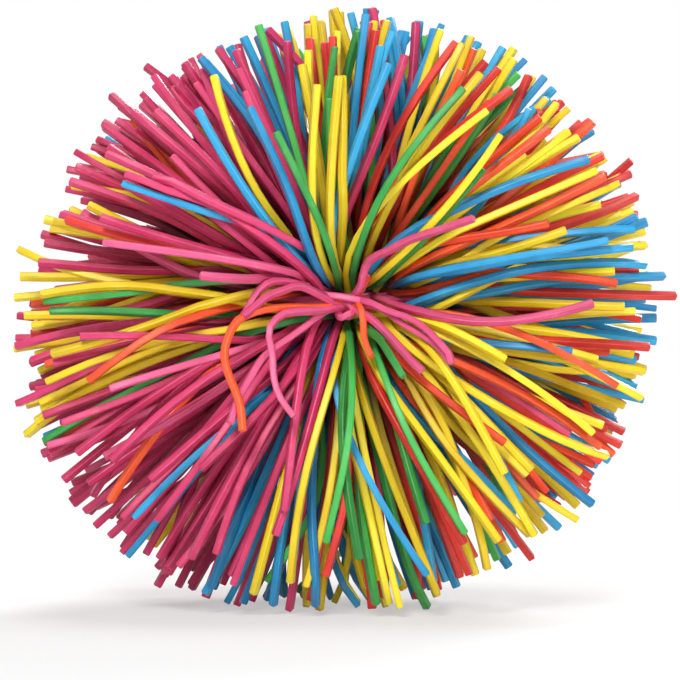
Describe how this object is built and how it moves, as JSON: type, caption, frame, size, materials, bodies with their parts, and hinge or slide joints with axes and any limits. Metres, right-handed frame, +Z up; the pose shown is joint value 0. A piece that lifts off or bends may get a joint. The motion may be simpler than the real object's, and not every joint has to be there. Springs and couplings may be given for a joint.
{
  "type": "stringy stress ball",
  "caption": "Ball of soft rubber strings in mixed bright colours, tied and knotted at the middle with rubber strings, for squeezing in the hand.",
  "frame": {"origin": "on the surface that the ball rests on, under the ball's middle, at the flat cut end of the string that stands there", "axes": "+Z up along the bundle of strings through the tied waist, -Y towards the knot and the dimple round it, +X to the right as seen from the knot's side"},
  "size_m": [0.0651, 0.0541, 0.0606],
  "materials": {
    "magenta_rubber": "satin",
    "yellow_rubber": "satin",
    "blue_rubber": "satin",
    "green_rubber": "satin",
    "red_rubber": "satin",
    "coral_rubber": "satin",
    "pink_rubber": "satin"
  },
  "bodies": {
    "root": {"magenta_hank_01": "magenta_rubber", "magenta_hank_02": "magenta_rubber", "magenta_hank_03": "magenta_rubber", "magenta_hank_04": "magenta_rubber", "magenta_hank_05": "magenta_rubber", "magenta_hank_06": "magenta_rubber", "magenta_hank_07": "magenta_rubber", "magenta_hank_08": "magenta_rubber", "magenta_hank_09": "magenta_rubber", "magenta_hank_10": "magenta_rubber", "magenta_hank_11": "magenta_rubber", "yellow_hank_01": "yellow_rubber", "yellow_hank_02": "yellow_rubber", "yellow_hank_03": "yellow_rubber", "yellow_hank_04": "yellow_rubber", "yellow_hank_05": "yellow_rubber", "yellow_hank_06": "yellow_rubber", "yellow_hank_07": "yellow_rubber", "yellow_hank_08": "yellow_rubber", "yellow_hank_09": "yellow_rubber", "yellow_hank_10": "yellow_rubber", "yellow_hank_11": "yellow_rubber", "yellow_hank_12": "yellow_rubber", "yellow_hank_13": "yellow_rubber", "blue_hank_01": "blue_rubber", "blue_hank_02": "blue_rubber", "blue_hank_03": "blue_rubber", "blue_hank_04": "blue_rubber", "blue_hank_05": "blue_rubber", "blue_hank_06": "blue_rubber", "blue_hank_07": "blue_rubber", "blue_hank_08": "blue_rubber", "blue_hank_09": "blue_rubber", "blue_hank_10": "blue_rubber", "green_hank_01": "green_rubber", "green_hank_02": "green_rubber", "green_hank_03": "green_rubber", "green_hank_04": "green_rubber", "green_hank_05": "green_rubber", "green_hank_06": "green_rubber", "green_hank_07": "green_rubber", "green_hank_08": "green_rubber", "green_hank_09": "green_rubber", "red_hank_01": "red_rubber", "red_hank_02": "red_rubber", "red_hank_03": "red_rubber", "red_hank_04": "red_rubber", "red_hank_05": "red_rubber", "red_hank_06": "red_rubber", "coral_hank_01": "coral_rubber", "coral_hank_02": "coral_rubber", "pink_tie_upper": "pink_rubber", "pink_tie_lower": "pink_rubber", "coral_tie": "coral_rubber"}
  },
  "joints": []
}
